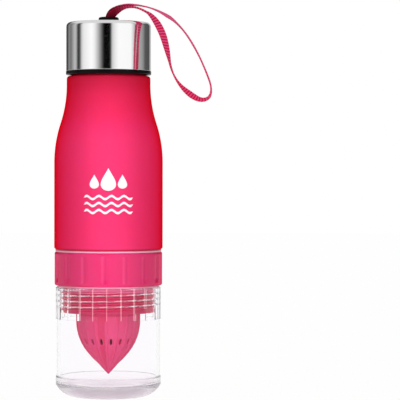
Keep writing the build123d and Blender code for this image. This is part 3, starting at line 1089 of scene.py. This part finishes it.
# The seals, with the bottle's lower edge in shadow on the body seal
silicone = Finish("seal_silicone", Subsurface_Weight=0.3, Subsurface_Scale=0.004)
pale = silicone.speckle(200.0, (0.9, 0.36, 0.5), (0.95, 0.43, 0.56))
in_shadow = silicone.between(94.4, 95.2)
silicone.drive("Base Color", silicone.blend(in_shadow, pale, colour(0.42, 0.012, 0.06)))
silicone.drive("Roughness", silicone.noise(900.0) * 0.1 + 0.4)
silicone.dress(*[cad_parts[node] for node in ("cup_seal", "body_seal", "lid_seal")])

black = Finish("black_plastic", Specular_IOR_Level=0.06)
black.drive("Base Color", black.speckle(150.0, (0.002, 0.002, 0.002), (0.006, 0.005, 0.006)))
black.drive("Roughness", black.noise(700.0) * 0.12 + 0.2)
black.dress(liner)

# Polished steel, drawn round its axis, with a satin top face
satin_bottom = lid_top - 0.15
steel = Finish("polished_steel", Metallic=1.0)
steel.drive("Base Color", steel.speckle(40.0, (0.77, 0.77, 0.775), (0.81, 0.81, 0.81)))
drawn = steel.add("ShaderNodeMapping", None, {"Vector": steel.place(), "Scale": (20.0, 20.0, 9000.0)})
lines = steel.noise(1.0, 4.0, drawn)
top_face = steel.height() > satin_bottom * mm
steel.drive("Roughness", lines * 0.04 + 0.075 + top_face * 0.3)
steel.drive("Normal", steel.bump(lines, 0.01 * mm, 0.15))
steel.dress(shell)

rubber = Finish("black_rubber", Specular_IOR_Level=0.05)
rubber.drive("Base Color", rubber.speckle(300.0, (0.003, 0.003, 0.003), (0.008, 0.007, 0.007)))
rubber.drive("Roughness", rubber.noise(900.0) * 0.15 + 0.42)
rubber.dress(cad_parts["strap_grommet"])

crimp = Finish("crimp_steel", Metallic=1.0)
crimp.drive("Base Color", crimp.speckle(500.0, (0.45, 0.45, 0.46), (0.6, 0.6, 0.6)))
crimp.drive("Roughness", crimp.noise(900.0) * 0.2 + 0.25)
crimp.dress(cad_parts["strap_crimp"])

# Webbing: a painted highlight and a painted shade on the two sides of each rib, a painted sheen that greys
# the outer run, and painted shade near both ends by the grommet
strap_middle = 115.2
webbing = Finish("strap_webbing", Sheen_Weight=0.35, Sheen_Roughness=0.4, Sheen_Tint=colour(1.0, 0.08, 0.2),
                 Specular_IOR_Level=0.1)
along_ribs = webbing.parts(webbing.add("ShaderNodeUVMap", {"uv_map": "weave"}))[1]
wave = webbing.maths("SINE", along_ribs * (full_turn / rib_pitch))
clamped = {"operation": "MULTIPLY_ADD", "use_clamp": True}
lit_rib = webbing.add("ShaderNodeMath", clamped, {0: wave, 1: -0.8, 2: 0.3})
yarn = webbing.noise(2600.0)
outer_run = webbing.rise(along_ribs, 112.0, 60.0)
near_ends = webbing.rise(abs(along_ribs - strap_middle), 88.0, 104.0)
# Painted light and shade over the pink: each rib's lit and dark side, sheen on the outer run, shade near the
# ends
webbing_with_painted_light = webbing.blend(lit_rib, colour(0.8, 0.004, 0.07), colour(1.0, 0.14, 0.36))
webbing_with_painted_light = webbing.blend(outer_run * 0.5, webbing_with_painted_light, colour(0.72, 0.13, 0.3))
webbing_with_painted_light = webbing.blend(near_ends, webbing_with_painted_light, colour(0.25, 0.004, 0.025))
webbing.drive("Base Color", webbing.blend(yarn * 0.2, webbing_with_painted_light, colour(0.75, 0.01, 0.09)))
webbing.drive("Roughness", webbing.noise(1500.0) * 0.15 + 0.6)
webbing.drive("Normal", webbing.bump(yarn, 0.08 * mm, 0.6))
webbing.dress(strap)


# Floor: lit as a grey sheet, and white to the camera and in the bottle's mirrored and refracted views

floor_half = 4.0
floor_corners = np.array([[-1, -1, 0], [1, -1, 0], [1, 1, 0], [-1, 1, 0]])
floor = mesh_piece("floor", floor_corners * floor_half / mm, np.array([[0, 1, 2, 3]]))
floor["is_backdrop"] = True
floor_finish = Finish("white_floor", Roughness=0.9)
floor_finish.drive("Base Color", colour(0.9, 0.9, 0.9))
glow = floor_finish.add("ShaderNodeEmission", None, {"Color": colour(1, 1, 1), "Strength": 1.0})
glowing = floor_finish.ray("Camera") * 0.97 + floor_finish.ray("Glossy") + floor_finish.ray("Transmission")
floor_finish.mix_in(glowing, glow)
floor_finish.dress(floor)


# Studio: white panels and dark gaps round the bottle, by the angle they stand at

world = bpy.data.worlds.new("studio")
bpy.context.scene.world = world
world.use_nodes = True
studio = Finish("studio", world.node_tree)
rightwards, away, up = studio.parts(studio.add("ShaderNodeTexCoord", output="Generated"))
round_share = studio.maths("ARCTAN2", rightwards, away * -1.0) / full_turn + 0.5
brightest = 1.25


def studio_ring(levels):
    """The light level round the bottle from (degrees from the front, level) marks."""
    return studio.ramp(round_share, [((angle + 180) / 360, colour(*np.broadcast_to(level, 3) / brightest))
                                     for angle, level in levels])


mirrored_ring = studio_ring([
    (-147, 0.06), (-138, 0.23), (-131, 0.29), (-124, 0.19), (-118, 0.27), (-108, 0.49), (-101, 0.64),
    (-94, 0.35), (-91, 0.06), (-84, 0.05), (-80, 0.3), (-76, 0.75), (-70, 1.0), (-45, 1.25), (-36, 1.06),
    (-19, 0.25), (-13.5, 0.06), (-10, 0), (5, 0), (8, 0.06), (12, 0.75), (19, 1.0), (30, 1.22), (65, 1.2),
    (72, 0.85), (80, 0.5), (103, 0.42), (114, 0.25), (119, 0.12), (146, 0.08), (154, 0.45), (168, 0.68),
])
lilac = (0.8, 0.75, 0.85)
refracted_ring = studio_ring([
    (-180, 1.0), (-169, 1.0), (-160, lilac), (-118, lilac), (-104, 0.9), (-60, 0.85), (-30, 0.9), (0, 0.9),
    (30, 0.9), (60, 0.85), (104, 0.9), (118, lilac), (160, lilac), (169, 1.0), (180, 1.0),
])
soft_ring = studio_ring([
    (-180, 0.8), (-100, 0.74), (-60, 0.74), (0, 0.84), (60, 0.74), (100, 0.74), (180, 0.8),
])
overhead = studio.rise(up, 0.35, 0.6)
mirrored_dome = studio.blend(overhead, mirrored_ring, colour(0.68, 0.68, 0.68))
shown = studio.blend(studio.ray("Glossy"), soft_ring, mirrored_dome)
shown = studio.blend(studio.ray("Transmission"), shown, refracted_ring)
shown = studio.blend(studio.ray("Camera"), shown, colour(1 / brightest, 1 / brightest, 1 / brightest))
background = world.node_tree.nodes["Background"]
studio.feed(background.inputs["Color"], shown)
studio.feed(background.inputs["Strength"], brightest)

# A narrow strip of light on the barrel's front, which no ray sees as a lamp
strip_data = bpy.data.lights.new("front_strip", "AREA")
strip_data.shape = "RECTANGLE"
strip_data.size = 0.03
strip_data.size_y = 0.235
strip_data.spread = math.radians(6)
strip_data.energy = 0.0178
strip = bpy.data.objects.new("front_strip", strip_data)
bpy.context.scene.collection.objects.link(strip)
strip.location = (0.0014, -0.6, 0.0925)
strip.rotation_euler = (math.radians(90), 0, 0)
for visibility in ("visible_camera", "visible_glossy", "visible_transmission"):
    setattr(strip, visibility, False)

bpy.context.scene.view_settings.view_transform = "Standard"

({"cad": [[float(x) for x in corner] for corner in cad_box],
           "visual": [[float(x) for x in corner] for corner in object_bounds()]})
